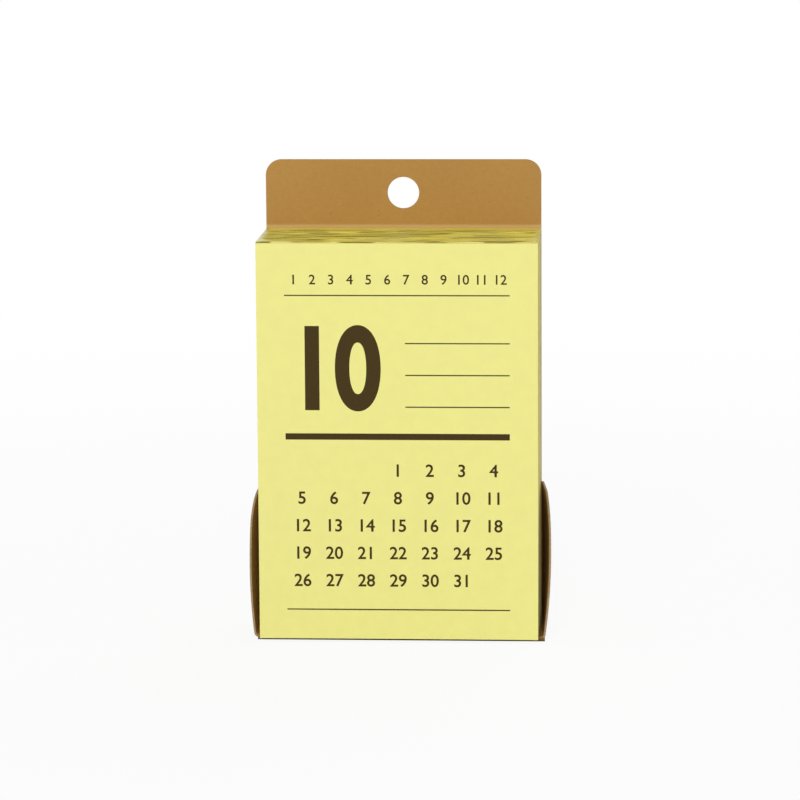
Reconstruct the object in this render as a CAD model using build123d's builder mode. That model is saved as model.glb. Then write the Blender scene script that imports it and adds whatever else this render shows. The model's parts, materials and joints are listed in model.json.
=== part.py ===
"""Block calendar: a glue-bound pad of day leaves standing in a folded card case that hangs on a nail.

Millimetres, +Z up, the front faces -Y. The origin is the middle of the footprint, on the surface it stands on.
"""
import os
from math import cos, radians, sin, tan

from build123d import *

# Leaf pad
sheet_width = 70.0
sheet_height = 100.0
leaf_count = 365
leaf_thickness = 0.08
cover_thickness = 0.2
glue_thickness = 0.25
glue_sink = 0.12  # depth of the dips in the glue where bunches of leaves meet
groove_depth = 0.15  # depth of the groove in the trimmed edges where bunches of leaves meet
groove_width = 0.5
bunch_shares = (0.13, 0.29, 0.46, 0.62, 0.81)  # where bunches meet, from the back board to the cover

# Card and its folds
card_thickness = 0.5
fold_radius = 0.15  # inside radius of the folds along the back board
foot_fold_radius = 0.25  # inside radius of the folds at the foot of the side walls
side_clearance = 0.05  # from the pad to the start of a side fold

# Back board
header_rise = 17.9  # from the top of the leaves to the top edge
header_corner_radius = 4.0
hole_diameter = 8.0
hole_drop = 8.5  # hole centre below the top edge

# Side walls, which flare outwards and bow between the floor and their top
wall_height = 36.0
pad_overhang = 2.8  # how far the pad stands out in front of the floor
wall_lean = 10.9  # degrees that the front edge leans back
wall_corner_radius = 10.4
wall_flares = (2.0, 5.9, 5.5)  # degrees, at the heights below
flare_height_shares = (0.0, 0.5, 1.0)
relief = 2.0  # corner cut where three folds would meet

# Glue tabs, folded in from the foot of the side walls
tab_width = 13.0
tab_taper = 3.0

# Places that several pieces share
pad_depth = leaf_count * leaf_thickness + cover_thickness
total_depth = pad_depth + card_thickness
board_rear = total_depth / 2
board_front = board_rear - card_thickness
pad_front = board_front - pad_depth
leaf_front = pad_front + cover_thickness
floor_top = card_thickness
pad_bottom = floor_top + card_thickness
pad_top = pad_bottom + sheet_height
case_height = pad_top + header_rise
fold_outside_radius = fold_radius + card_thickness
foot_outside_radius = foot_fold_radius + card_thickness
fold_start = sheet_width / 2 + side_clearance
fold_centre = (fold_start, board_front - fold_radius)
floor_front = pad_front + pad_overhang


def wall_normal(flare):
    """The outward direction of a side wall, seen from above."""
    return Vector(cos(radians(flare)), sin(radians(flare)))


def wall_run(flare):
    """The forward direction of a side wall, seen from above."""
    return Vector(sin(radians(flare)), -cos(radians(flare)))


def wall_point(flare, radius, run):
    """A point of a side wall's face: the arc's radius picks the face, run is the way along it from the fold."""
    return Vector(*fold_centre) + wall_normal(flare) * radius + wall_run(flare) * run


def wall_outside(y):
    """The x of the wall's outside face at its foot."""
    foot = wall_point(wall_flares[0], fold_outside_radius, 0)
    return foot.X + (foot.Y - y) * tan(radians(wall_flares[0]))


def wall_front(z):
    """The y of the leaning front edge at a height."""
    return floor_front + z * tan(radians(wall_lean))


def notched_edge(start, end, edge, depth):
    """Points along an edge from one y to another, with a V notch wherever two bunches of leaves meet."""
    points = [(start, edge)]
    for share in bunch_shares:
        middle = start + (end - start) * share
        half = groove_width / 2 if end > start else -groove_width / 2
        points += [(middle - half, edge), (middle, edge - depth), (middle + half, edge)]
    return points + [(end, edge)]


os.makedirs("parts", exist_ok=True)

# Right side wall: plan sections of the fold and the wall, lofted through the flare and trimmed in side view
with BuildPart() as side_wall:
    for share, flare in zip(flare_height_shares, wall_flares):
        height = floor_top + (wall_height - floor_top) * share
        sweep = flare - 90
        with BuildSketch(Plane.XY.offset(height)):
            with BuildLine():
                root = fold_start - relief
                outer_fold = CenterArc(fold_centre, fold_outside_radius, 90, sweep)
                inner_fold = CenterArc(fold_centre, fold_radius, 90, sweep)
                outer_tip = wall_point(flare, fold_outside_radius, pad_depth)
                inner_tip = wall_point(flare, fold_radius, pad_depth)
                Polyline(outer_fold @ 1, outer_tip, inner_tip, inner_fold @ 1)
                Polyline(inner_fold @ 0, (root, board_front), (root, board_rear), outer_fold @ 0)
            make_face()
    loft()
    split(bisect_by=Plane.YZ.offset(fold_start), keep=Keep.TOP)
    # Glue tab at the wall's foot
    with BuildSketch(Plane.XY.offset(floor_top)):
        with BuildLine():
            foot_front = wall_outside(floor_front)
            shoulder = foot_front - 2 * foot_outside_radius
            tab_inside = foot_front - tab_width
            Polyline(
                (wall_outside(board_front), board_front),
                (foot_front, floor_front),
                (shoulder, floor_front),
                (tab_inside, floor_front + tab_taper),
                (tab_inside, board_front - relief - tab_taper),
                (shoulder, board_front),
                close=True,
            )
        make_face()
    extrude(amount=card_thickness)
    # Leaning front edge, rounded upper corner and the corner relief
    with BuildSketch(Plane.YZ):
        with BuildLine():
            Polyline(
                (board_rear, floor_top + relief),
                (board_front, floor_top + relief),
                (board_front - relief, floor_top),
                (wall_front(floor_top), floor_top),
                (wall_front(wall_height), wall_height),
                (board_rear, wall_height),
                close=True,
            )
        make_face()
        fillet(vertices().group_by(Axis.Y)[-1].sort_by(Axis.X)[0], wall_corner_radius)
    extrude(amount=sheet_width, mode=Mode.INTERSECT)
    foot_y = (floor_front + board_front) / 2
    foot_outside = wall_outside(foot_y)
    fillet(edges().sort_by_distance((foot_outside, foot_y, floor_top))[0], foot_outside_radius)
    fillet(edges().sort_by_distance((foot_outside - card_thickness, foot_y, pad_bottom))[0], foot_fold_radius)

# Card case: back board with its hang hole, floor and both side walls, folded from one sheet
with BuildPart() as card_case:
    with BuildSketch(Plane.XZ.offset(-board_rear)):
        with Locations((0, case_height / 2)):
            Rectangle(2 * fold_start, case_height)
        fillet(vertices().group_by(Axis.Y)[-1], header_corner_radius)
        with Locations((0, case_height - hole_drop)):
            Circle(hole_diameter / 2, mode=Mode.SUBTRACT)
    extrude(amount=card_thickness)
    with BuildSketch():
        with BuildLine():
            floor_side = (
                (fold_start, board_rear),
                (fold_start, board_front),
                (wall_outside(board_front - relief), board_front - relief),
                (wall_outside(floor_front), floor_front),
            )
            Polyline(*floor_side, *[(-x, y) for x, y in reversed(floor_side)], close=True)
        make_face()
    extrude(amount=card_thickness)
    fillet(edges().filter_by(Axis.X).sort_by_distance((0, board_rear, 0))[0], fold_outside_radius)
    fillet(edges().filter_by(Axis.X).sort_by_distance((0, board_front, floor_top))[0], fold_radius)
    add(side_wall.part)
    mirror(side_wall.part, about=Plane.YZ)
card_case.part.label = "card_case"
export_step(card_case.part, "parts/card_case.step")

# Page block: the day leaves, with grooves in the trimmed edges where bunches of leaves meet
with BuildPart() as page_block:
    with BuildSketch(Plane.YZ):
        with BuildLine():
            foot_edge = notched_edge(board_front, leaf_front, pad_bottom, -groove_depth)
            Polyline(*foot_edge, (leaf_front, pad_top), (board_front, pad_top), close=True)
        make_face()
    extrude(amount=sheet_width / 2, both=True)
    with BuildSketch(Plane.XY):
        with BuildLine():
            side_edge = notched_edge(board_front, leaf_front, sheet_width / 2, groove_depth)
            right_edge = [(x, y) for y, x in side_edge]
            Polyline(*right_edge, *[(-x, y) for x, y in reversed(right_edge)], close=True)
        make_face()
    extrude(amount=pad_top, mode=Mode.INTERSECT)
page_block.part.label = "page_block"
export_step(page_block.part, "parts/page_block.step")

# Cover sheet in front of the leaves
with BuildPart() as cover_sheet:
    with BuildSketch(Plane.XZ.offset(-leaf_front)):
        with Locations((0, pad_bottom + sheet_height / 2)):
            Rectangle(sheet_width, sheet_height)
    extrude(amount=cover_thickness)
cover_sheet.part.label = "cover_sheet"
export_step(cover_sheet.part, "parts/cover_sheet.step")

# Glue binding: the film brushed over the top edges of the leaves and the cover
with BuildPart() as glue_binding:
    with BuildSketch(Plane.YZ):
        with BuildLine():
            film_top = notched_edge(board_front, leaf_front, pad_top + glue_thickness, glue_sink)
            film_front = ((pad_front, pad_top + glue_thickness), (pad_front, pad_top))
            Polyline(*film_top, *film_front, (board_front, pad_top), close=True)
        make_face()
    extrude(amount=sheet_width / 2, both=True)
glue_binding.part.label = "glue_binding"
export_step(glue_binding.part, "parts/glue_binding.step")
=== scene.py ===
"""Looks of a tear-off block calendar: folded kraft case, stack of leaves, glue binding and printed cover.

Laid out as an add-on with one operator for each piece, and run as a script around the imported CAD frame.
"""
import json
import math

import bmesh
import bpy
from bpy.props import FloatProperty, FloatVectorProperty, IntProperty, PointerProperty
from mathutils import Matrix, Vector, noise


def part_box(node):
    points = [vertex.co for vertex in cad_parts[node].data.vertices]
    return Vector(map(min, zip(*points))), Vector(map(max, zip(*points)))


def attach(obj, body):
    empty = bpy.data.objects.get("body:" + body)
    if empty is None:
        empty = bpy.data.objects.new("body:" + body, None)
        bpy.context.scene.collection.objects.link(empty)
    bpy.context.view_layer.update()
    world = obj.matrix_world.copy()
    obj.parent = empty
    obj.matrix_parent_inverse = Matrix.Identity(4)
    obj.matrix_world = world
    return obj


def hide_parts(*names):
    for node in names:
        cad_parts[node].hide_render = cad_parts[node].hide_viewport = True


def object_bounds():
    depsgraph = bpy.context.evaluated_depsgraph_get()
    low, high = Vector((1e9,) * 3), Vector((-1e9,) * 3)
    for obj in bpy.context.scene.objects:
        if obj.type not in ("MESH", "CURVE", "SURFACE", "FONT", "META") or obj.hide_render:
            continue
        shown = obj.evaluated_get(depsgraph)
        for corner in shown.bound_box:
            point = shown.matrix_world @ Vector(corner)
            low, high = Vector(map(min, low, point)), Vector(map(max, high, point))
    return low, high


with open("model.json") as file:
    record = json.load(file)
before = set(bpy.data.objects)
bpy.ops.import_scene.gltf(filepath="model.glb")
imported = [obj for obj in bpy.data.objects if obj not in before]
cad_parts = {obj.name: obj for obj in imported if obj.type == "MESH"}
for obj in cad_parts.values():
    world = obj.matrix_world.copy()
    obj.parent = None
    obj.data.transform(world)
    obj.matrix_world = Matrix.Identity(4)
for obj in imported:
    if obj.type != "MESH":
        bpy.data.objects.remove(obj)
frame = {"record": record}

bl_info = {
    "name": "Block calendar",
    "version": (1, 0, 0),
    "blender": (4, 5, 0),
    "location": "View3D > Sidebar > Calendar",
    "description": "Builds a tear-off block calendar in its folded card case",
    "category": "Add Mesh",
}

MM = 0.001
BODY = "root"
PHOTO_PIXELS = 800
WHITE = (1.0, 1.0, 1.0)

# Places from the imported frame, in metres
CAD_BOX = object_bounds()
CASE_LOW, CASE_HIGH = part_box("card_case")
BLOCK_LOW, BLOCK_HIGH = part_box("page_block")
COVER_LOW, COVER_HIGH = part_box("cover_sheet")
GLUE_LOW, GLUE_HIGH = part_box("glue_binding")
HANG_HOLE = next(mount for mount in frame["record"]["mounts"] if mount["name"] == "hang_hole")
CARD = CASE_HIGH.y - BLOCK_HIGH.y
SHEET_WIDTH = BLOCK_HIGH.x - BLOCK_LOW.x

# Fineness of the meshes
FOLD_STEPS = 6
WALL_ROWS = 16
WALL_COLUMNS = 20
WALL_CORNER_STEPS = 14
TAB_COLUMNS = 3
HEADER_CORNER_STEPS = 10
HOLE_STEPS = 72
COVER_ROWS = 50
COVER_COLUMNS = 36
FILM_COLUMNS = 260
BUNCH_ROWS = 4
CLIMB_ROWS = 9
SEAM_SIDES = (-1.0, -0.5, -0.1, 0.2, 0.45, 0.7, 1.0)  # rows across a seam, from its front to its rear
CUT_ANGLE = math.radians(60)  # sharper edges of the card are softened
COVER_SHARP_ANGLE = math.radians(40)
FILM_SHARP_ANGLE = math.radians(55)

# Wear of the card's folds, from 0 to 1
UPRIGHT_WEAR = 1.0
FOOT_WEAR = 0.8

# Uneven pattern of the leaves, in waves to the leaf, and of the glue film, in waves to the metre
LEAF_WAVES = 0.09
LONG_WAVES = 60.0
RISE_WAVES = 80.0
OPEN_WAVES = 100.0
COVER_WAVES = 110.0
FINE_WAVES = 240.0

# Shares of the glue film's depth, and of its width for the corner where the cover's seam stays open
SEAM_WANDER_SHARE = 0.012
FINE_WANDER_SHARE = 0.004
PALE_FRONT_SHARES = (0.12, 0.07)
OPEN_CORNER_SHARES = (-0.42, -0.47)
LEAST_OPENING = 0.25  # of a seam between leaves, from 0 to 1

# Vertex attributes of the glue film: sunk in a seam (also where the seam's painted shade goes), pale edge,
# front of a bunch (where its painted shade goes), climb, tone of a bunch
FILM_TONES = ("sink", "rim", "lip", "climb", "bunch_tone")

# Print
MONTHS = 12
MONTH_DAYS = 31
WEEK_DAYS = 7
BIG_DAY = "10"
NOTE_LINES = 3
FIGURE_HEIGHT = 0.7  # of a numeral in the built-in typeface at size 1
FIGURE_WELD = 0.0001  # points of such a numeral that lie nearer than this are joined
INK_SHARE = 0.9  # of the ink film that is solid, so that it stays off the paper


# Settings

def length_setting(name, description, millimetres):
    """A property that holds a length."""
    return FloatProperty(
        name=name, description=description, default=millimetres * MM, unit="LENGTH", precision=6)


def angle_setting(name, description, degrees):
    """A property that holds an angle."""
    return FloatProperty(
        name=name, description=description, default=math.radians(degrees), unit="ROTATION")


def point_setting(name, description, *millimetres):
    """A property that holds a place."""
    place = [along * MM for along in millimetres]
    return FloatVectorProperty(
        name=name, description=description, size=3, subtype="TRANSLATION", unit="LENGTH", default=place)


def colour_setting(name, description, *channels):
    """A property that holds a colour."""
    return FloatVectorProperty(
        name=name, description=description, size=3, subtype="COLOR", default=channels)


def power_setting(name, description, watts):
    """A property that holds a lamp's power."""
    return FloatProperty(name=name, description=description, default=watts, unit="POWER")


def number_setting(name, description, number):
    """A property that holds a plain number."""
    return FloatProperty(name=name, description=description, default=number)


class CaseSettings(bpy.types.PropertyGroup):
    """Sizes and colours of the folded card case."""

    wall_height: length_setting("Wall height", "Top of the side walls above the table", 36.0)
    wall_lean: angle_setting("Front lean", "How far the walls' front edges lean back", 10.9)
    wall_corner: length_setting("Wall corner", "Radius of the walls' upper front corners", 10.4)
    wall_flares: FloatVectorProperty(
        name="Flare", description="Outward turn of the walls at the foot, mid height and top", size=3,
        default=[math.radians(degrees) for degrees in (2.0, 5.9, 5.5)], unit="ROTATION")
    fold_radius: length_setting("Fold radius", "Inside radius of the folds along the back board", 0.15)
    foot_radius: length_setting("Foot radius", "Inside radius of a wall's foot at the rear", 0.25)
    foot_radius_front: length_setting("Front foot radius", "Inside radius of a wall's foot in front", 0.8)
    side_clearance: length_setting("Side clearance", "From the pad to the start of a side fold", 0.05)
    relief: length_setting("Relief", "Corner cut of the floor where the folds meet", 1.0)
    floor_inset: length_setting("Floor inset", "How much narrower the floor is on the left", 0.8)
    tab_width: length_setting("Tab width", "Glue tab folded in at the foot", 13.0)
    tab_taper: length_setting("Tab taper", "How much shorter the tab's inner edge is at each end", 3.0)
    header_corner: length_setting("Header corner", "Radius of the back board's top corners", 4.0)
    sheet_slack: length_setting("Sheet slack", "How much thinner the sheet is than the CAD case", 0.01)
    edge_round: length_setting("Edge round", "Softening of the cut edges", 0.05)
    weld: length_setting("Weld", "Points of the folds that lie nearer than this are joined", 0.002)
    kraft: colour_setting("Kraft", "Face of the card", 0.445, 0.238, 0.057)
    cut_edge: colour_setting("Cut edge", "Core of the card where it is cut", 0.37, 0.27, 0.155)


class PadSettings(bpy.types.PropertyGroup):
    """Sizes and colours of the leaves and the cover."""

    leaf_count: IntProperty(name="Leaves", description="Leaves in the block", default=365, min=2)
    leaf_gap: length_setting("Leaf gap", "Air between two leaves", 0.006)
    leaf_jitter: length_setting("Leaf jitter", "How far single leaves stand out of line", 0.03)
    bunch_jitter: length_setting("Bunch jitter", "How far bunches of leaves stand out of line", 0.12)
    seed: IntProperty(name="Seed", description="Seed of the leaves' uneven edges", default=7)
    cover_lift: length_setting("Cover lift", "How far the cover's free corners stand off", 0.25)
    paper: colour_setting("Paper", "Yellow of the cover", 0.84, 0.80, 0.266)
    leaf: colour_setting("Leaf edges", "Paler paper of the leaves, seen on their edges", 0.83, 0.77, 0.35)


class PrintSettings(bpy.types.PropertyGroup):
    """Sizes and ink of the print; drops end at the middle of what they place."""

    margin: length_setting("Margin", "From the cover's sides to the print", 7.0)
    month_drop: length_setting("Months drop", "From the cover's top to the month numbers", 9.0)
    month_height: length_setting("Months height", "Height of the month numbers", 2.4)
    month_weight: number_setting("Months weight", "Boldness of the month numbers", 0.012)
    head_drop: length_setting("Head rule drop", "From the cover's top to the rule under the months", 13.0)
    day_drop: length_setting("Day drop", "From the cover's top to the big day number", 31.0)
    day_across: length_setting("Day across", "Middle of the big day number, from the margin", 12.5)
    day_height: length_setting("Day height", "Height of the big day number", 20.0)
    day_width: number_setting("Day width", "How wide the big day number is set", 0.8)
    day_weight: number_setting("Day weight", "Boldness of the big day number", 0.03)
    note_drop: length_setting("Notes drop", "From the cover's top to the first note line", 25.0)
    note_pitch: length_setting("Notes pitch", "From one note line to the next", 8.0)
    note_across: length_setting("Notes across", "Start of the note lines, from the margin", 30.0)
    bar_drop: length_setting("Bar drop", "From the cover's top to the heavy bar", 48.5)
    bar_weight: length_setting("Bar weight", "Thickness of the heavy bar", 1.6)
    grid_drop: length_setting("Days drop", "From the cover's top to the first row of days", 57.0)
    grid_pitch: length_setting("Days pitch", "From one row of days to the next", 7.0)
    grid_height: length_setting("Days height", "Height of the days' numbers", 3.1)
    grid_weight: number_setting("Days weight", "Boldness of the days' numbers", 0.016)
    first_column: IntProperty(name="First day", description="Empty places before the first day", default=3)
    foot_drop: length_setting("Foot rule drop", "From the cover's top to the rule under the days", 92.5)
    rule_weight: length_setting("Rule weight", "Thickness of the thin rules", 0.3)
    ink_film: length_setting("Ink film", "How far the print stands off the paper", 0.015)
    ink: colour_setting("Ink", "Brown of the print", 0.051, 0.030, 0.004)


class FilmSettings(bpy.types.PropertyGroup):
    """Sizes and colours of the film of padding glue."""

    bunch_shares: FloatVectorProperty(
        name="Bunches", description="Where bunches of leaves meet, from the back board to the cover",
        size=5, default=(0.13, 0.29, 0.46, 0.62, 0.81))
    cover_seam: length_setting("Cover seam", "From the front edge to the seam behind the cover", 0.6)
    first_seam: length_setting("First seam", "From the front edge to the first seam between leaves", 2.4)
    seam_width: length_setting("Seam width", "Width of the seams between bunches", 0.4)
    seam_sink: length_setting("Seam sink", "How far the glue sinks in the seams", 0.14)
    wave_height: length_setting("Wave height", "Height of the long waves in the glue", 0.3)
    cover_drop: length_setting("Cover drop", "How far the cover's top edge stays below the leaves", 0.22)
    bunch_slope: length_setting("Bunch slope", "How much lower a bunch is at its rear", 0.16)
    least_film: length_setting("Least film", "Thickness of the glue at the bottom of the seams", 0.03)
    calm_end: length_setting("Calm end", "Width of the smooth strips at both ends of the film", 2.0)
    climb_height: length_setting("Climb", "How far the glue climbs the back board", 1.2)
    glue: colour_setting("Glue", "Glue over the leaves' top edges", 0.96, 0.81, 0.09)
    thin_glue: colour_setting("Thin glue", "Glue where it lies thin", 0.95, 0.83, 0.16)
    # Painted shade: the lip and seam colours darken the bunches' front faces and the seams, standing in for
    # the shadow in the crevices between bunches.
    lip_shade: colour_setting("Lip glue", "Glue on the front of a bunch", 0.60, 0.48, 0.09)
    seam_shade: colour_setting("Seam glue", "Glue pooled in the seams", 0.15, 0.12, 0.005)
    # Partly painted highlight: the glue on the card has its own colour, painted paler than the kraft for
    # the light it catches from above.
    card_glue_and_highlight: colour_setting("Glue on card", "Glue that climbs the back board", 0.56, 0.37, 0.115)
    feather_glue: colour_setting("Feathered glue", "Upper edge of the climbing glue", 0.45, 0.25, 0.065)


class StageSettings(bpy.types.PropertyGroup):
    """Camera, light and floor."""

    camera_turn: angle_setting("Camera turn", "Camera to the right of the front", 3.67)
    camera_rise: angle_setting("Camera rise", "Camera above the horizon", 9.24)
    camera_roll: angle_setting("Camera roll", "Camera turned about its own axis", -0.37)
    camera_distance: length_setting("Camera distance", "From the point looked at", 1000.0)
    camera_aim: point_setting("Camera aim", "Point looked at", -0.26, -0.25, 59.41)
    pixels_per_metre: number_setting("Image scale", "Pixels for a metre at the point looked at", 3960.3)
    key_place: point_setting("Key light", "Middle of the key light", -160.0, -1750.0, 850.0)
    key_size: length_setting("Key size", "Side of the key light", 900.0)
    key_power: power_setting("Key power", "Power of the key light", 19.6)
    back_place: point_setting("Back light", "Middle of the back light", 600.0, 1500.0, 1200.0)
    back_size: length_setting("Back size", "Side of the back light", 1200.0)
    back_power: power_setting("Back power", "Power of the back light", 13.0)
    ambient: number_setting("Ambient", "Strength of the light from all round", 0.42)
    floor: colour_setting("Floor", "Pale studio floor", 0.86, 0.86, 0.86)
    floor_reach: length_setting("Floor reach", "From the middle of the floor to its edges", 12000.0)


# Node graphs

class Value:
    """A node's output: operators on it add the Math nodes."""

    def __init__(self, graph, socket):
        self.graph = graph
        self.socket = socket

    def math(self, operation, *others, swap=False):
        """Adds a Math node with this value and the others as inputs."""
        inputs = [self, *others]
        if swap:
            inputs.reverse()
        return self.graph.node("ShaderNodeMath", {"operation": operation}, dict(enumerate(inputs)))

    def __add__(self, other):
        return self.math("ADD", other)

    def __sub__(self, other):
        return self.math("SUBTRACT", other)

    def __rsub__(self, other):
        return self.math("SUBTRACT", other, swap=True)

    def __mul__(self, other):
        return self.math("MULTIPLY", other)

    __radd__ = __add__
    __rmul__ = __mul__


class Graph:
    """A node tree under construction."""

    def __init__(self, tree):
        self.tree = tree

    def node(self, kind, settings=None, inputs=None, output=0):
        """Adds a node, sets its settings and then its sockets, and returns one of its outputs."""
        made = self.tree.nodes.new(kind)
        for key, value in (settings or {}).items():
            setattr(made, key, value)
        for key, value in (inputs or {}).items():
            if isinstance(value, Value):
                self.tree.links.new(value.socket, made.inputs[key])
            else:
                made.inputs[key].default_value = value
        return Value(self, made.outputs[output])


class ShaderGraph(Graph):
    """The nodes of a material or world."""

    def __init__(self, owner):
        owner.use_nodes = True
        super().__init__(owner.node_tree)
        self.owner = owner
        self.tree.nodes.clear()

    def place(self):
        """Object coordinates."""
        return self.node("ShaderNodeTexCoord", output="Object")

    def attribute(self, name):
        """A vertex attribute of the piece."""
        return self.node("ShaderNodeAttribute", {"attribute_name": name}, output="Fac")

    def noise(self, place, scale, detail=2.0, rough=0.5, stretch=None, turn=(0.0, 0.0, 0.0)):
        """Noise of a given number of waves to the metre, stretched and turned if asked."""
        if stretch:
            mapping = {"Vector": place, "Scale": stretch, "Rotation": turn}
            place = self.node("ShaderNodeMapping", inputs=mapping)
        sockets = {"Vector": place, "Scale": scale, "Detail": detail, "Roughness": rough}
        return self.node("ShaderNodeTexNoise", inputs=sockets, output="Fac")

    def band(self, value, low, high, to_low=0.0, to_high=1.0):
        """Value moved from one range to another, smoothed and clamped."""
        settings = {"interpolation_type": "SMOOTHSTEP", "clamp": True}
        sockets = {"Value": value, "From Min": low, "From Max": high, "To Min": to_low, "To Max": to_high}
        return self.node("ShaderNodeMapRange", settings, sockets)

    def mix(self, factor, first, second):
        """Colour mix."""
        settings = {"data_type": "RGBA", "blend_type": "MIX", "clamp_factor": True}
        sockets = {0: factor, 6: opaque(first), 7: opaque(second)}
        return self.node("ShaderNodeMix", settings, sockets, output=2)

    def bump(self, height, strength, distance):
        """A bump normal."""
        sockets = {"Strength": strength, "Distance": distance, "Height": height}
        return self.node("ShaderNodeBump", inputs=sockets, output="Normal")

    def surface(self, **sockets):
        """Ends the graph in a Principled BSDF."""
        named = {key.replace("_", " "): value for key, value in sockets.items()}
        return self.finish(self.node("ShaderNodeBsdfPrincipled", inputs=named))

    def seen(self):
        """One for what the camera sees, straight or in a reflection, and nought for light on its way."""
        path = self.tree.nodes.new("ShaderNodeLightPath").outputs
        straight, mirrored, through = [
            Value(self, path[name]) for name in ("Is Camera Ray", "Is Glossy Ray", "Is Transmission Ray")]
        return straight.math("MAXIMUM", mirrored).math("MAXIMUM", through)

    def finish(self, shader, end="ShaderNodeOutputMaterial"):
        """Links a shader to the output."""
        self.tree.links.new(shader.socket, self.tree.nodes.new(end).inputs["Surface"])
        return self.owner


def opaque(colour):
    """A plain colour with its alpha, or a socket as it is."""
    if isinstance(colour, Value):
        return colour
    return (*colour[:3], 1.0)


def tinted(colour, factor):
    """A colour made darker or lighter."""
    return tuple(channel * factor for channel in colour[:3])


# Materials

def kraft_material(kraft):
    """Uncoated kraft card: mottled pulp, loose fibres both ways, a few dark flecks and worn folds."""
    graph = ShaderGraph(bpy.data.materials.new("kraft_card"))
    place = graph.place()
    cloud = graph.noise(place, 55.0, 3.0)
    pulp = graph.noise(place, 900.0, 4.0, 0.6)
    fibres = graph.noise(place, 700.0, 2.0, stretch=(1.0, 1.0, 7.0), turn=(0.0, 0.4, 0.2))
    cross = graph.noise(place, 700.0, 2.0, stretch=(7.0, 2.0, 1.0), turn=(0.0, -0.3, 0.1))
    fleck = graph.noise(place, 1500.0, 1.0)
    tone = graph.mix(graph.band(cloud, 0.3, 0.7), tinted(kraft, 0.97), tinted(kraft, 1.03))
    tone = graph.mix(graph.band(pulp, 0.25, 0.75) * 0.5, tone, tinted(kraft, 0.88))
    tone = graph.mix(graph.band(fibres, 0.60, 0.74) * 0.4, tone, tinted(kraft, 1.28))
    tone = graph.mix(graph.band(cross, 0.60, 0.74) * 0.35, tone, tinted(kraft, 1.22))
    tone = graph.mix(graph.band(fleck, 0.74, 0.80) * 0.5, tone, tinted(kraft, 0.5))
    worn = graph.attribute("fold_wear")
    tone = graph.mix(worn * graph.band(pulp, 0.3, 0.6) * 0.5, tone, tinted(kraft, 1.35))
    rough = graph.band(pulp, 0.2, 0.8, 0.72, 0.86)
    relief = pulp * 0.5 + fibres * 0.3 + cross * 0.2
    normal = graph.bump(relief, 0.25, 0.06 * MM)
    return graph.surface(Base_Color=tone, Roughness=rough, Normal=normal, Specular_IOR_Level=0.35)


def cut_edge_material(core):
    """The card's cut edge: pale plies of pulp, with painted shade low down near the table."""
    graph = ShaderGraph(bpy.data.materials.new("kraft_cut_edge"))
    place = graph.place()
    plies = graph.noise(place, 2600.0, 2.0)
    tone = graph.mix(graph.band(plies, 0.3, 0.7), tinted(core, 0.8), tinted(core, 1.15))
    # Painted shade: below about a millimetre the edge turns dark, standing in for the shadow under the
    # pad's overhang at the table.
    height = graph.node("ShaderNodeSeparateXYZ", inputs={0: place}, output="Z")
    tone = graph.mix(graph.band(height, 0.3 * MM, 1.2 * MM, 0.8, 0.0), tone, tinted(core, 0.15))
    normal = graph.bump(plies, 0.4, 0.05 * MM)
    return graph.surface(Base_Color=tone, Roughness=0.9, Normal=normal, Specular_IOR_Level=0.2)


def cover_material(paper):
    """Smooth uncoated yellow paper with faint cloudy formation."""
    graph = ShaderGraph(bpy.data.materials.new("cover_paper"))
    place = graph.place()
    formation = graph.noise(place, 320.0, 3.0)
    tooth = graph.noise(place, 4200.0, 2.0)
    tone = graph.mix(graph.band(formation, 0.25, 0.75), tinted(paper, 0.985), tinted(paper, 1.01))
    tone = graph.mix(graph.band(tooth, 0.55, 0.75) * 0.25, tone, tinted(paper, 0.93))
    normal = graph.bump(tooth, 0.12, 0.02 * MM)
    return graph.surface(Base_Color=tone, Roughness=0.72, Normal=normal, Specular_IOR_Level=0.3)


def leaf_material(paper):
    """Cut edges of the leaves, each with its own tone."""
    graph = ShaderGraph(bpy.data.materials.new("leaf_edges"))
    smudge = graph.noise(graph.place(), 160.0, 3.0)
    tone = graph.mix(graph.attribute("leaf_tone"), tinted(paper, 0.84), tinted(paper, 1.06))
    tone = graph.mix(graph.band(smudge, 0.35, 0.75) * 0.18, tone, tinted(paper, 0.75))
    return graph.surface(Base_Color=tone, Roughness=0.85, Specular_IOR_Level=0.2)


def ink_material(ink, paper):
    """Brown ink that lets a little of the paper through."""
    graph = ShaderGraph(bpy.data.materials.new("brown_ink"))
    tooth = graph.noise(graph.place(), 3000.0, 3.0)
    tone = graph.mix(graph.band(tooth, 0.55, 0.8) * 0.3, ink, tinted(paper, 0.16))
    rough = graph.band(tooth, 0.3, 0.7, 0.7, 0.85)
    return graph.surface(Base_Color=tone, Roughness=rough, Specular_IOR_Level=0.2)


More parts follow.
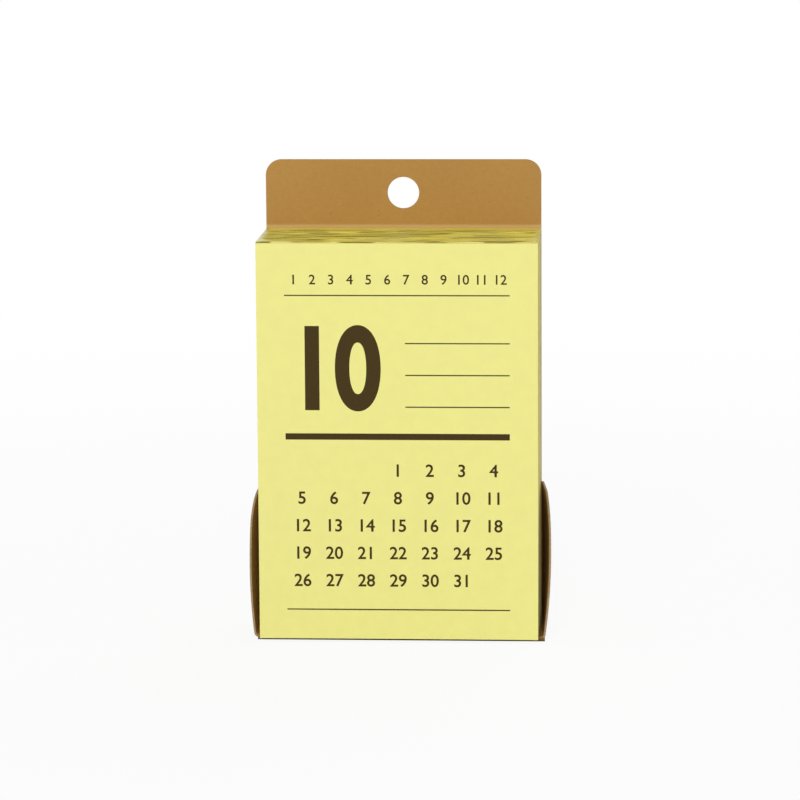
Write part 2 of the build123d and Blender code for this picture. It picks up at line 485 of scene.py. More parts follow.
def glue_material(film, paper):
    """Padding glue: a glossy film with painted shade in its seams and on the bunches' front faces, thinning
    on the card, where it is painted paler for a highlight from above.
    """
    graph = ShaderGraph(bpy.data.materials.new("padding_glue"))
    place = graph.place()
    sink, rim, lip, climb, bunch = [graph.attribute(name) for name in FILM_TONES]
    edges = graph.noise(place, 100.0, 2.0, stretch=(0.4, 24.0, 1.0))
    leaves = graph.noise(place, 100.0, 1.0, stretch=(0.15, 80.0, 1.0))
    brush = graph.noise(place, 500.0, 3.0, stretch=(0.4, 6.0, 6.0))
    tone = graph.mix(graph.band(bunch, 0.2, 0.8), film.glue, film.thin_glue)
    tone = graph.mix(graph.band(edges, 0.35, 0.65) * 0.22, tone, tinted(film.glue, 0.6))
    tone = graph.mix(graph.band(leaves, 0.4, 0.65) * 0.3, tone, tinted(film.glue, 0.55))
    tone = graph.mix(rim * 0.5, tone, tinted(paper, 0.56))
    # Painted shade: the bunches' front faces and the seams between them are darkened for the shadow in the
    # crevices.
    tone = graph.mix(lip * 0.7, tone, film.lip_shade)
    tone = graph.mix(sink * 0.9, tone, film.seam_shade)
    # Glue on the card: its own colour, painted paler for a highlight from above, fading to near the kraft
    # at its upper edge.
    tone = graph.mix(graph.band(climb, 0.0, 0.15), tone, film.card_glue_and_highlight)
    tone = graph.mix(graph.band(climb, 0.3, 0.9), tone, film.feather_glue)
    rough = graph.band(brush, 0.25, 0.75, 0.2, 0.32) + climb * 0.4 + sink * 0.5
    normal = graph.bump(brush + leaves * 0.6, 0.06, 0.05 * MM)
    return graph.surface(Base_Color=tone, Roughness=rough, Normal=normal, Specular_IOR_Level=0.3)


def floor_material(colour):
    """Pale floor: nearly white to the camera and in reflections, with the shadow kept near the case."""
    graph = ShaderGraph(bpy.data.materials.new("studio_floor"))
    matt = graph.node("ShaderNodeBsdfDiffuse", inputs={"Color": opaque(colour)})
    white = graph.node("ShaderNodeEmission", inputs={"Color": opaque(WHITE), "Strength": 1.0})
    away = graph.node("ShaderNodeVectorMath", {"operation": "LENGTH"}, {0: graph.place()}, output="Value")
    wash = graph.seen() * graph.band(away, 0.1, 0.6, 0.9, 1.0)
    return graph.finish(graph.node("ShaderNodeMixShader", inputs={0: wash, 1: matt, 2: white}))


def studio_world(ambient):
    """Even soft light from all round, white where it is seen."""
    graph = ShaderGraph(bpy.data.worlds.new("studio"))
    strength = graph.seen() * (1.0 - ambient) + ambient
    light = graph.node("ShaderNodeBackground", inputs={"Color": opaque(WHITE), "Strength": strength})
    return graph.finish(light, "ShaderNodeOutputWorld")


# Mesh helpers

def linked(name, data):
    """A new object at the origin, in the scene."""
    made = bpy.data.objects.new(name, data)
    bpy.context.scene.collection.objects.link(made)
    return made


def new_piece(name, mesh, node=None):
    """Makes a piece of a finished mesh, riding on the calendar's body."""
    piece = linked(name, mesh)
    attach(piece, BODY)
    if node:
        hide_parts(node)


def mesh_of(draft, name):
    """A plain mesh of a drafted one, which is freed."""
    mesh = bpy.data.meshes.new(name)
    draft.to_mesh(mesh)
    draft.free()
    return mesh


def baked_mesh(name, source):
    """The evaluated mesh of an object, as a plain mesh; the object is removed."""
    graph = bpy.context.evaluated_depsgraph_get()
    mesh = bpy.data.meshes.new_from_object(source.evaluated_get(graph))
    mesh.name = name
    bpy.data.objects.remove(source)
    return mesh


def thicken(source, thickness, offset):
    """Gives an object's sheet its thickness."""
    thick = source.modifiers.new("thickness", "SOLIDIFY")
    thick.thickness = thickness
    thick.offset = offset
    return thick


def sheet_of(draft, rows):
    """Fills a grid of points with quads."""
    verts = [[draft.verts.new(point) for point in row] for row in rows]
    for lower, upper in zip(verts, verts[1:]):
        for corners in zip(lower, lower[1:], upper[1:], upper):
            draft.faces.new(corners)
    return verts


def add_skirt(draft, grid, bottom):
    """Closes a grid of vertices with sides that run down to a flat bottom."""
    inner = grid[1:-1]
    rim = [*grid[0], *[row[-1] for row in inner], *reversed(grid[-1]), *[row[0] for row in reversed(inner)]]
    foot = [draft.verts.new((vert.co.x, vert.co.y, bottom), vert) for vert in rim]
    for corners in zip(rim, rim[1:] + rim[:1], foot[1:] + foot[:1], foot):
        draft.faces.new(corners)
    draft.faces.new(foot)


def blend(start, end, share):
    """A number part of the way from one to another."""
    return start + (end - start) * share


def steps(start, end, count):
    """Even steps from one number to another, both included."""
    return [blend(start, end, step / count) for step in range(count + 1)]


def soft_step(low, high, value):
    """Nought at one number, one at another, and smooth between."""
    share = min(max((value - low) / (high - low), 0.0), 1.0)
    return share * share * (3.0 - 2.0 * share)


def drift(*place):
    """Smooth noise from -1 to 1: the first number runs along a fixed pattern, the others choose it."""
    return noise.noise(Vector(place))


# Card case

class WallShape:
    """Mid surface of the right side wall: its fold, flare, front edge and foot."""

    def __init__(self, case):
        self.case = case
        self.mid = case.fold_radius + CARD / 2
        self.fold_x = SHEET_WIDTH / 2 + case.side_clearance
        self.fold_y = BLOCK_HIGH.y - case.fold_radius
        self.floor_front = CASE_LOW.y
        self.tab_z = CARD + CARD / 2
        self.fold_foot = CARD + case.fold_radius
        corner_z = case.wall_height - case.wall_corner
        reach = (case.wall_corner + corner_z * math.sin(case.wall_lean)) / math.cos(case.wall_lean)
        self.corner = Vector((self.floor_front + reach, corner_z))
        self.corner_start = corner_z + case.wall_corner * math.sin(case.wall_lean)

    def flare(self, z):
        """Outward turn at a height: a parabola through the three set flares."""
        low, middle, high = self.case.wall_flares
        share = (z - CARD) / (self.case.wall_height - CARD)
        lower = low * (1 - share) * (1 - 2 * share)
        upper = high * share * (2 * share - 1)
        return lower + middle * 4 * share * (1 - share) + upper

    def at(self, z, run):
        """Point of the wall at a height, some way along from the fold."""
        turn = self.flare(z)
        x = self.fold_x + self.mid * math.cos(turn) + run * math.sin(turn)
        y = self.fold_y + self.mid * math.sin(turn) - run * math.cos(turn)
        return Vector((x, y, z))

    def run_to(self, z, y):
        """Way along the wall from the fold to a given depth."""
        turn = self.flare(z)
        return (self.fold_y + self.mid * math.sin(turn) - y) / math.cos(turn)

    def front(self, z):
        """Depth of the front edge: a leaning line, then the rounded corner."""
        if z <= self.corner_start:
            return self.floor_front + z * math.tan(self.case.wall_lean)
        rise = min(z - self.corner.y, self.case.wall_corner)
        return self.corner.x - math.sqrt(self.case.wall_corner ** 2 - rise ** 2)

    def face_point(self, z, share):
        """Point of the wall at a height, by its share of the way from the rear to the front edge."""
        return self.at(z, self.run_to(z, self.front(z)) * share)

    def foot_bend(self, share):
        """Mid radius of the foot's fold, which loosens towards the front."""
        return blend(self.case.foot_radius, self.case.foot_radius_front, share) + CARD / 2

    def foot_point(self, share, angle):
        """Point of the foot's fold, by its share of the way to the front and its turn below the wall."""
        bend = self.foot_bend(share)
        start = self.face_point(self.tab_z + bend, share)
        return start + Vector((bend * (math.cos(angle) - 1), 0.0, -bend * math.sin(angle)))

    def heights(self):
        """Heights of the wall's rows: even below the rounded corner, closer together round it."""
        plain = steps(self.tab_z + self.foot_bend(0.0), self.corner_start, WALL_ROWS)
        turns = steps(self.case.wall_lean, math.pi / 2, WALL_CORNER_STEPS)[1:]
        return [*plain, *[self.corner.y + self.case.wall_corner * math.sin(turn) for turn in turns]]

    def fold_heights(self):
        """Heights of the rows of the upright fold, which runs down to the fold of the floor."""
        return [self.fold_foot, *self.heights()]

    def floor_side(self, y):
        """How far the floor reaches to the side at a depth."""
        return self.at(CARD, self.run_to(CARD, y)).x + CARD / 2


def add_wall_face(draft, wall):
    """Flared face of the right side wall."""
    heights = wall.heights()
    top = wall.case.wall_height
    rows = []
    for height in heights:
        row = []
        for share in steps(0.0, 1.0, WALL_COLUMNS):
            start = wall.tab_z + wall.foot_bend(share)
            z = top - (top - height) * (top - start) / (top - heights[0])
            row.append(wall.face_point(z, share))
        rows.append(row)
    sheet_of(draft, rows)


def add_upright_fold(draft, wall, wear):
    """Fold between the right side wall and the back board."""
    rows = []
    for height in wall.fold_heights():
        row = []
        for angle in steps(math.pi / 2, wall.flare(height), FOLD_STEPS):
            x = wall.fold_x + wall.mid * math.cos(angle)
            row.append(Vector((x, wall.fold_y + wall.mid * math.sin(angle), height)))
        rows.append(row)
    for row in sheet_of(draft, rows):
        for vert in row[1:-1]:
            vert[wear] = UPRIGHT_WEAR


def add_wall_foot(draft, wall, wear):
    """Bent foot of the right side wall and the glue tab that it ends in."""
    shares = steps(0.0, 1.0, WALL_COLUMNS)
    turns = steps(0.0, math.pi / 2, FOLD_STEPS)
    rows = [[wall.foot_point(share, turn) for share in shares] for turn in turns]
    for row in sheet_of(draft, rows)[1:-1]:
        for vert in row:
            vert[wear] = FOOT_WEAR
    inner = wall.at(wall.tab_z, wall.run_to(wall.tab_z, wall.floor_front)).x - wall.case.tab_width
    tab_rows = []
    for inwards in steps(0.0, 1.0, TAB_COLUMNS):
        row = []
        for along, start in zip(shares, rows[-1]):
            taper = blend(wall.case.tab_taper, -wall.case.tab_taper, along) * inwards
            row.append(Vector((blend(start.x, inner, inwards), start.y - taper, wall.tab_z)))
        tab_rows.append(row)
    sheet_of(draft, tab_rows)


def add_left_wall(draft):
    """Adds the left wall as the mirror image of the right one."""
    made = bmesh.ops.duplicate(draft, geom=[*draft.verts, *draft.edges, *draft.faces])["geom"]
    for vert in (item for item in made if isinstance(item, bmesh.types.BMVert)):
        vert.co.x = -vert.co.x


def add_board(draft, wall):
    """Back board with its rounded top corners and hang hole."""
    round_off = wall.case.header_corner
    corner = Vector((wall.fold_x - round_off, CASE_HIGH.z - round_off))
    right = [(wall.fold_x, z) for z in wall.fold_heights()]
    for angle in steps(0.0, math.pi / 2, HEADER_CORNER_STEPS):
        right.append((corner.x + round_off * math.cos(angle), corner.y + round_off * math.sin(angle)))
    outline = right + [(-x, z) for x, z in reversed(right)]
    radius = HANG_HOLE["dims"]["r_mm"] * MM
    hole_z = HANG_HOLE["pos_m"][2]
    around = steps(0.0, math.tau, HOLE_STEPS)[:-1]
    hole = [(radius * math.cos(angle), hole_z + radius * math.sin(angle)) for angle in around]
    edges = []
    for loop in (outline, hole):
        verts = [draft.verts.new((x, CASE_HIGH.y - CARD / 2, z)) for x, z in loop]
        edges += [draft.edges.new(pair) for pair in zip(verts, verts[1:] + verts[:1])]
    bmesh.ops.triangle_fill(draft, use_beauty=True, edges=edges)


def add_floor(draft, wall, wear):
    """Fold at the bottom of the back board, and the floor."""
    edge = wall.fold_x
    fold = []
    for angle in steps(0.0, math.pi / 2, FOLD_STEPS):
        point = (wall.fold_y + wall.mid * math.cos(angle), wall.fold_foot - wall.mid * math.sin(angle))
        fold.append([Vector((x, *point)) for x in (-edge, edge)])
    for row in sheet_of(draft, fold)[1:-1]:
        for vert in row:
            vert[wear] = FOOT_WEAR
    rear = BLOCK_HIGH.y - wall.case.relief
    folded = [(edge, wall.fold_y), (edge, wall.fold_y - CARD / 2)]
    free = [(wall.floor_side(rear), rear), (wall.floor_side(wall.floor_front), wall.floor_front)]
    left = [(-x, y) for x, y in folded] + [(wall.case.floor_inset - x, y) for x, y in free]
    draft.faces.new([draft.verts.new((x, y, CARD / 2)) for x, y in folded + free + left[::-1]])


class CALENDAR_OT_card_case(bpy.types.Operator):
    """Folds the card case: back board, floor, side walls and glue tabs"""

    bl_idname = "calendar.card_case"
    bl_label = "Card case"

    def execute(self, context):
        case = context.scene.calendar_case
        wall = WallShape(case)
        draft = bmesh.new()
        wear = draft.verts.layers.float.new("fold_wear")
        add_wall_face(draft, wall)
        add_upright_fold(draft, wall, wear)
        add_wall_foot(draft, wall, wear)
        add_left_wall(draft)
        add_board(draft, wall)
        add_floor(draft, wall, wear)
        bmesh.ops.remove_doubles(draft, verts=draft.verts, dist=case.weld)
        bmesh.ops.recalc_face_normals(draft, faces=draft.faces)
        mesh = mesh_of(draft, "folded_sheet")
        mesh.shade_smooth()
        mesh.materials.append(kraft_material(case.kraft))
        mesh.materials.append(cut_edge_material(case.cut_edge))
        folded = linked("folded_sheet", mesh)
        thick = thicken(folded, CARD - case.sheet_slack, 0.0)
        thick.use_even_offset = True
        thick.material_offset_rim = 1
        soft = folded.modifiers.new("cut_edges", "BEVEL")
        soft.width = case.edge_round
        soft.segments = 2
        soft.limit_method = "ANGLE"
        soft.angle_limit = CUT_ANGLE
        soft.harden_normals = True
        new_piece("card_case_sheet", baked_mesh("card_case_sheet", folded), "card_case")
        return {"FINISHED"}


# Leaf block

class GeometryGraph(Graph):
    """The nodes of a geometry, with named inputs."""

    def __init__(self, name, inputs):
        super().__init__(bpy.data.node_groups.new(name, "GeometryNodeTree"))
        self.values = {}
        for label, kind, value in inputs:
            made = self.tree.interface.new_socket(label, in_out="INPUT", socket_type=kind)
            self.values[made.identifier] = value
        self.tree.interface.new_socket("Geometry", in_out="OUTPUT", socket_type="NodeSocketGeometry")
        self.entry = self.tree.nodes.new("NodeGroupInput")

    def input(self, label):
        """One of the tree's inputs."""
        return Value(self, self.entry.outputs[label])

    def chance(self, low, high, seed):
        """A random number for each point or instance."""
        sockets = {2: low, 3: high, "Seed": seed}
        return self.node("FunctionNodeRandomValue", {"data_type": "FLOAT"}, sockets, output=1)

    def run(self, geometry, name):
        """Ends the tree in a geometry, runs it and returns the plain mesh."""
        end = self.tree.nodes.new("NodeGroupOutput")
        self.tree.links.new(geometry.socket, end.inputs[0])
        holder = linked(name, bpy.data.meshes.new(name))
        made = holder.modifiers.new(name, "NODES")
        made.node_group = self.tree
        for identifier, value in self.values.items():
            made[identifier] = value
        return baked_mesh(name, holder)


def leaf_stack(pad, material):
    """The stack of leaves, each a thin slab a little out of line with the next."""
    pitch = (BLOCK_HIGH.y - BLOCK_LOW.y) / pad.leaf_count
    middle = (BLOCK_LOW + BLOCK_HIGH) / 2
    size = Vector((SHEET_WIDTH - 2 * pad.bunch_jitter, pitch - pad.leaf_gap, BLOCK_HIGH.z - BLOCK_LOW.z))
    tree = GeometryGraph("leaf_stack", [
        ("Leaves", "NodeSocketInt", pad.leaf_count),
        ("Leaf size", "NodeSocketVector", size),
        ("First leaf", "NodeSocketVector", Vector((middle.x, BLOCK_LOW.y + pitch / 2, middle.z))),
        ("Pitch", "NodeSocketVector", Vector((0.0, pitch, 0.0))),
        ("Leaf jitter", "NodeSocketFloat", pad.leaf_jitter),
        ("Bunch jitter", "NodeSocketFloat", pad.bunch_jitter),
        ("Seed", "NodeSocketInt", pad.seed),
        ("Paper", "NodeSocketMaterial", material),
    ])
    line = tree.node("GeometryNodeMeshLine", {"mode": "OFFSET"}, {
        "Count": tree.input("Leaves"),
        "Start Location": tree.input("First leaf"),
        "Offset": tree.input("Pitch"),
    })
    index = tree.node("GeometryNodeInputIndex")
    wander = tree.node("ShaderNodeTexNoise", {"noise_dimensions": "1D"}, {
        "W": index * LEAF_WAVES, "Scale": 1.0, "Detail": 3.0, "Roughness": 0.6})
    bunch = (wander - 0.5) * tree.input("Bunch jitter")
    jitter = tree.input("Leaf jitter")
    single = tree.chance(jitter * -1.0, jitter, tree.input("Seed"))
    shift = tree.node("ShaderNodeCombineXYZ", inputs={"X": bunch + single})
    points = tree.node("GeometryNodeSetPosition", inputs={"Geometry": line, "Offset": shift})
    slab = tree.node("GeometryNodeMeshCube", inputs={"Size": tree.input("Leaf size")})
    leaves = tree.node("GeometryNodeInstanceOnPoints", inputs={"Points": points, "Instance": slab})
    tone = tree.chance(0.0, 1.0, tree.input("Seed") + 1.0)
    toned = tree.node("GeometryNodeStoreNamedAttribute", {"data_type": "FLOAT", "domain": "INSTANCE"}, {
        "Geometry": leaves, "Name": "leaf_tone", "Value": tone})
    solid = tree.node("GeometryNodeRealizeInstances", inputs={"Geometry": toned})
    sockets = {"Geometry": solid, "Material": tree.input("Paper")}
    return tree.run(tree.node("GeometryNodeSetMaterial", inputs=sockets), "leaf_stack")


class CALENDAR_OT_leaf_block(bpy.types.Operator):
    """Stacks the day leaves"""

    bl_idname = "calendar.leaf_block"
    bl_label = "Leaf block"

    def execute(self, context):
        pad = context.scene.calendar_pad
        new_piece("leaf_stack", leaf_stack(pad, leaf_material(pad.leaf)), "page_block")
        return {"FINISHED"}


# Cover

def cover_front(pad, x, z):
    """Depth of the cover's front face: flat, with its free lower corners a little lifted."""
    across = abs(x) / (SHEET_WIDTH / 2)
    down = (COVER_HIGH.z - z) / (COVER_HIGH.z - COVER_LOW.z)
    return COVER_LOW.y - pad.cover_lift * across ** 4 * down ** 6


class CALENDAR_OT_cover(bpy.types.Operator):
    """Lays the cover sheet over the leaves"""

    bl_idname = "calendar.cover"
    bl_label = "Cover sheet"

    def execute(self, context):
        pad = context.scene.calendar_pad
        draft = bmesh.new()
        places = steps(COVER_LOW.x, COVER_HIGH.x, COVER_COLUMNS)
        heights = steps(COVER_LOW.z, COVER_HIGH.z, COVER_ROWS)
        sheet_of(draft, [[Vector((x, cover_front(pad, x, z), z)) for x in places] for z in heights])
        sheet = linked("cover", mesh_of(draft, "cover"))
        thicken(sheet, COVER_HIGH.y - COVER_LOW.y, -1.0)
        mesh = baked_mesh("cover_leaf", sheet)
        mesh.shade_smooth()
        mesh.set_sharp_from_angle(angle=COVER_SHARP_ANGLE)
        mesh.materials.append(cover_material(pad.paper))
        new_piece("cover_leaf", mesh, "cover_sheet")
        return {"FINISHED"}


# Print on the cover

def embolden(figures, weight):
    """Moves the outline of flat figures outwards in their plane."""
    ways = {}
    for edge in (edge for edge in figures.edges if edge.is_boundary):
        start, end = edge.verts
        face = edge.link_faces[0]
        away = (end.co - start.co).cross(face.normal).normalized()
        if away.dot(face.calc_center_median() - start.co) > 0:
            away.negate()
        for vert in edge.verts:
            ways[vert] = ways.get(vert, Vector()) + away
    for vert, way in ways.items():
        vert.co += way * 2.0 * weight / max(way.length_squared, 1.0)


def stamp(draft, body, across, down, height, width=1.0, weight=0.0, smooth=4):
    """Adds plain numerals to the print, centred at a place measured from the cover's top left corner."""
    curve = bpy.data.curves.new("numerals", "FONT")
    curve.body = body
    curve.resolution_u = smooth
    curve.align_x = "CENTER"
    flat = baked_mesh("numerals", linked("numerals", curve))
    figures = bmesh.new()
    figures.from_mesh(flat)
    bmesh.ops.remove_doubles(figures, verts=figures.verts, dist=FIGURE_WELD)
    embolden(figures, weight)
    scale = height / FIGURE_HEIGHT
    for vert in figures.verts:
        x = COVER_LOW.x + across + vert.co.x * scale * width
        vert.co = (x, 0.0, COVER_HIGH.z - down + (vert.co.y - FIGURE_HEIGHT / 2) * scale)
    figures.to_mesh(flat)
    figures.free()
    draft.from_mesh(flat)
    bpy.data.meshes.remove(flat)


def rule(draft, across, down, length, thick):
    """Adds a printed bar, from its left end, centred on a line."""
    x = COVER_LOW.x + across
    z = COVER_HIGH.z - down
    ends = ((x, -0.5), (x + length, -0.5), (x + length, 0.5), (x, 0.5))
    draft.faces.new([draft.verts.new((end, 0.0, z + side * thick)) for end, side in ends])


def lay_out_print(draft, layout):
    """A row of months, a big day with note lines beside it, a heavy bar and a month of small numbers."""
    margin = layout.margin
    wide = SHEET_WIDTH - 2 * margin
    for month in range(MONTHS):
        across = margin + wide * (month + 0.5) / MONTHS
        stamp(draft, str(month + 1), across, layout.month_drop, layout.month_height,
              weight=layout.month_weight)
    rule(draft, margin, layout.head_drop, wide, layout.rule_weight)
    stamp(draft, BIG_DAY, margin + layout.day_across, layout.day_drop, layout.day_height,
          width=layout.day_width, weight=layout.day_weight, smooth=16)
    for line in range(NOTE_LINES):
        down = layout.note_drop + layout.note_pitch * line
        rule(draft, margin + layout.note_across, down, wide - layout.note_across, layout.rule_weight)
    rule(draft, margin, layout.bar_drop, wide, layout.bar_weight)
    for day in range(MONTH_DAYS):
        row, column = divmod(day + layout.first_column, WEEK_DAYS)
        across = margin + wide * (column + 0.5) / WEEK_DAYS
        down = layout.grid_drop + layout.grid_pitch * row
        stamp(draft, str(day + 1), across, down, layout.grid_height, weight=layout.grid_weight)
    rule(draft, margin, layout.foot_drop, wide, layout.rule_weight)


class CALENDAR_OT_cover_print(bpy.types.Operator):
    """Prints plain numbers and rules on the cover"""

    bl_idname = "calendar.cover_print"
    bl_label = "Cover print"

    def execute(self, context):
        pad = context.scene.calendar_pad
        layout = context.scene.calendar_print
        draft = bmesh.new()
        lay_out_print(draft, layout)
        for vert in draft.verts:
            vert.co.y = cover_front(pad, vert.co.x, vert.co.z) - layout.ink_film
        flat = linked("print", mesh_of(draft, "print"))
        thicken(flat, layout.ink_film * INK_SHARE, -1.0)
        mesh = baked_mesh("cover_print", flat)
        mesh.materials.append(ink_material(layout.ink, pad.paper))
        new_piece("cover_print", mesh)
        return {"FINISHED"}


# Glue binding

class FilmShape:
    """Top face of the glue film: bunches of leaves of uneven height with seams between them."""

    def __init__(self, film):
        self.film = film
        self.depth = GLUE_HIGH.y - GLUE_LOW.y
        self.half_seam = film.seam_width / 2 / self.depth
        self.climb_start = 1.0 - film.climb_height / self.depth
        meets = sorted(1.0 - share for share in film.bunch_shares)
        halves = [(low + high) / 2 for low, high in zip(meets, meets[1:])]
        front = [film.cover_seam / self.depth, film.first_seam / self.depth]
        self.seams = [*front, *sorted(meets + halves)]

    def spread(self, x):
        """How uneven the film is: nought at its ends, where it has closed over the leaves, one inside."""
        return soft_step(SHEET_WIDTH / 2, SHEET_WIDTH / 2 - self.film.calm_end, abs(x))

    def seam(self, number, x):
        """Where two bunches meet, as a share of the film's depth; the front seams wander less."""
        wander = SEAM_WANDER_SHARE * drift(x * LONG_WAVES, number * 7.3, 0.0)
        wander += FINE_WANDER_SHARE * drift(x * FINE_WAVES, number, 3.0)
        return self.seams[number] + wander * min(number, 2) / 2

    def opening(self, number, x):
        """How far a seam has stayed open, from 0 to 1: the one behind the cover only in places."""
        if number:
            gaping = soft_step(-0.3, 0.05, drift(x * OPEN_WAVES, number * 3.1, 5.0))
            return blend(LEAST_OPENING, 1.0, gaping) * self.spread(x)
        corner = soft_step(*OPEN_CORNER_SHARES, x / SHEET_WIDTH)
        return soft_step(-0.05, 0.2, drift(x * COVER_WAVES, 6.5, 4.5) + corner)

    def bunch_rise(self, number, x):
        """Height of a bunch's top edge against the mean; the first one is the cover."""
        wave = drift(x * RISE_WAVES, number * 13.7, 2.0) + 0.35 * drift(x * FINE_WAVES, number * 9.1, 6.0)
        if number == 0:
            return -self.film.cover_drop * (1.0 + 0.2 * wave)
        return self.film.wave_height * min(max(wave, -0.5), 1.0) * self.spread(x)

    def rows(self, x):
        """One column: share of the way back, bunch, slope of its top and way across a seam, if in one."""
        places = [(0.0, 0, 0.0, None)]
        for number in range(len(self.seams)):
            middle = self.seam(number, x)
            half = self.half_seam * (0.5 + 0.5 * self.opening(number, x))
            last = places[-1][0]
            for way in steps(0.0, 1.0, BUNCH_ROWS)[1:-1]:
                places.append((blend(last, middle - half, way), number, 0.5 - way, None))
            for side in SEAM_SIDES:
                places.append((middle + side * half, number, soft_step(-1.0, 1.0, side) - 0.5, side))
        last = places[-1][0]
        count = len(self.seams)
        for way in steps(0.0, 1.0, BUNCH_ROWS)[1:]:
            places.append((blend(last, self.climb_start, way), count, 0.5 - way / 2, None))
        for way in steps(0.0, 1.0, CLIMB_ROWS)[1:]:
            places.append((1.0 - (1.0 - self.climb_start) * (1.0 - way) ** 2, count, 0.0, None))
        return places

    def point(self, x, share, bunch, slope, side):
        """A point of the film and its tones."""
        film = self.film
        rise = self.bunch_rise(bunch, x)
        sink = 0.0
        lip = 0.0
        if side is not None:
            lip = soft_step(0.1, 0.6, side)
            rise = blend(rise, self.bunch_rise(bunch + 1, x), soft_step(-1.0, 1.0, side))
            sink = self.opening(bunch, x) * soft_step(-1.0, -0.5, side) * soft_step(0.9, 0.4, side)
        rise += film.bunch_slope * slope * self.spread(x)
        beyond = max(share - self.climb_start, 0.0) / (1.0 - self.climb_start)
        climb = 1.0 - math.sqrt(1.0 - beyond ** 2)
        z = GLUE_HIGH.z + rise * (1.0 - climb) - film.seam_sink * sink + climb * film.climb_height
        z = max(z, GLUE_LOW.z + film.least_film)
        tones = {
            "sink": sink,
            "rim": max(soft_step(*PALE_FRONT_SHARES, share), 1.0 - self.spread(x)),
            "lip": lip,
            "climb": climb,
            "bunch_tone": 0.5 + 0.7 * drift(x * LONG_WAVES, bunch * 4.3, share * 6.0),
        }
        return Vector((x, blend(GLUE_LOW.y, GLUE_HIGH.y, share), z)), tones


class CALENDAR_OT_glue_binding(bpy.types.Operator):
    """Brushes the padding glue over the top edges"""

    bl_idname = "calendar.glue_binding"
    bl_label = "Glue binding"

    def execute(self, context):
        film = context.scene.calendar_film
        shape = FilmShape(film)
        draft = bmesh.new()
        layers = {name: draft.verts.layers.float.new(name) for name in FILM_TONES}
        columns = []
        for x in steps(GLUE_LOW.x, GLUE_HIGH.x, FILM_COLUMNS):
            columns.append([shape.point(x, *row) for row in shape.rows(x)])
        grid = sheet_of(draft, [[point for point, _ in column] for column in columns])
        for verts, column in zip(grid, columns):
            for vert, (_, tones) in zip(verts, column):
                for name, layer in layers.items():
                    vert[layer] = tones[name]
        add_skirt(draft, grid, GLUE_LOW.z)
        bmesh.ops.recalc_face_normals(draft, faces=draft.faces)
        mesh = mesh_of(draft, "glue_film")
        mesh.shade_smooth()
        mesh.set_sharp_from_angle(angle=FILM_SHARP_ANGLE)
        mesh.materials.append(glue_material(film, context.scene.calendar_pad.paper))
        new_piece("glue_film", mesh, "glue_binding")
        return {"FINISHED"}


# Stage

def area_light(name, place, size, power, aim):
    """A square soft light aimed at a point."""
    lamp = bpy.data.lights.new(name, "AREA")
    lamp.shape = "SQUARE"
    lamp.size = size
    lamp.energy = power
    holder = linked(name, lamp)
    holder.location = place
    holder.rotation_euler = (Vector(aim) - Vector(place)).to_track_quat("-Z", "Y").to_euler()


def photo_camera(stage):
    """Camera at the photograph's viewing angle."""
    data = bpy.data.cameras.new("camera")
    data.sensor_width = 36.0
    data.lens = stage.pixels_per_metre * stage.camera_distance / PHOTO_PIXELS * data.sensor_width
    data.clip_start = 0.01
    data.clip_end = 100.0
    turn = Matrix.Rotation(stage.camera_turn, 4, "Z")
    rise = Matrix.Rotation(math.pi / 2 - stage.camera_rise, 4, "X")
    roll = Matrix.Rotation(stage.camera_roll, 4, "Z")
    back = Matrix.Translation((0.0, 0.0, stage.camera_distance))
    camera = linked("camera", data)
    camera.matrix_world = Matrix.Translation(stage.camera_aim) @ turn @ rise @ roll @ back
    bpy.context.scene.camera = camera


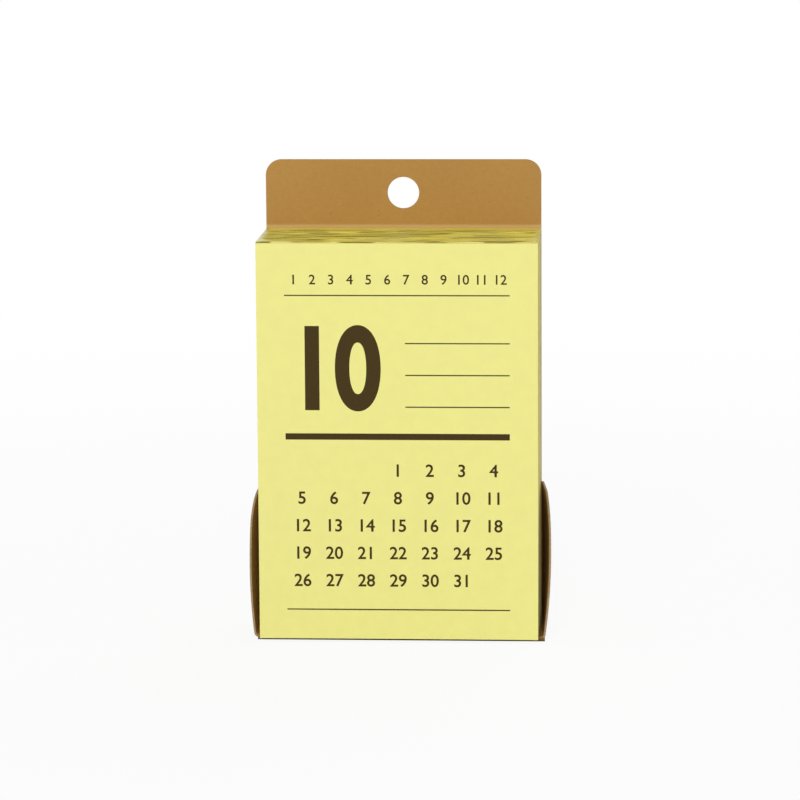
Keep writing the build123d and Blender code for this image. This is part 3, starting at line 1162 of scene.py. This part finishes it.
class CALENDAR_OT_stage(bpy.types.Operator):
    """Sets the floor, the soft light and the camera"""

    bl_idname = "calendar.stage"
    bl_label = "Stage"

    def execute(self, context):
        stage = context.scene.calendar_stage
        reach = stage.floor_reach
        corners = [(-reach, -reach, 0.0), (reach, -reach, 0.0), (reach, reach, 0.0), (-reach, reach, 0.0)]
        mesh = bpy.data.meshes.new("floor")
        mesh.from_pydata(corners, [], [(0, 1, 2, 3)])
        mesh.materials.append(floor_material(stage.floor))
        linked("floor", mesh)
        context.scene.world = studio_world(stage.ambient)
        aim = (CAD_BOX[0] + CAD_BOX[1]) / 2
        area_light("key", stage.key_place, stage.key_size, stage.key_power, aim)
        area_light("back", stage.back_place, stage.back_size, stage.back_power, aim)
        photo_camera(stage)
        context.scene.view_settings.view_transform = "Standard"
        return {"FINISHED"}


# Sidebar and registration

class CALENDAR_PT_sidebar(bpy.types.Panel):
    """Lists the calendar's pieces and settings"""

    bl_idname = "CALENDAR_PT_sidebar"
    bl_label = "Block calendar"
    bl_space_type = "VIEW_3D"
    bl_region_type = "UI"
    bl_category = "Calendar"

    def draw(self, context):
        for operator in OPERATORS:
            self.layout.operator(operator.bl_idname)
        for name, kind in SETTINGS.items():
            box = self.layout.box()
            for key in kind.__annotations__:
                box.prop(getattr(context.scene, name), key)


SETTINGS = {
    "calendar_case": CaseSettings,
    "calendar_pad": PadSettings,
    "calendar_print": PrintSettings,
    "calendar_film": FilmSettings,
    "calendar_stage": StageSettings,
}
OPERATORS = (
    CALENDAR_OT_card_case,
    CALENDAR_OT_leaf_block,
    CALENDAR_OT_cover,
    CALENDAR_OT_cover_print,
    CALENDAR_OT_glue_binding,
    CALENDAR_OT_stage,
)
CLASSES = (*SETTINGS.values(), *OPERATORS, CALENDAR_PT_sidebar)


def register():
    """Registers the classes and gives the scene its settings."""
    for kind in CLASSES:
        bpy.utils.register_class(kind)
    for name, kind in SETTINGS.items():
        setattr(bpy.types.Scene, name, PointerProperty(type=kind))


def unregister():
    """Takes the settings and classes away again."""
    for name in SETTINGS:
        delattr(bpy.types.Scene, name)
    for kind in reversed(CLASSES):
        bpy.utils.unregister_class(kind)


def main():
    """Builds every piece and the stage."""
    register()
    bpy.ops.calendar.card_case()
    bpy.ops.calendar.leaf_block()
    bpy.ops.calendar.cover()
    bpy.ops.calendar.cover_print()
    bpy.ops.calendar.glue_binding()
    bpy.ops.calendar.stage()
    bpy.context.view_layer.update()


if __name__ == "__main__":
    main()
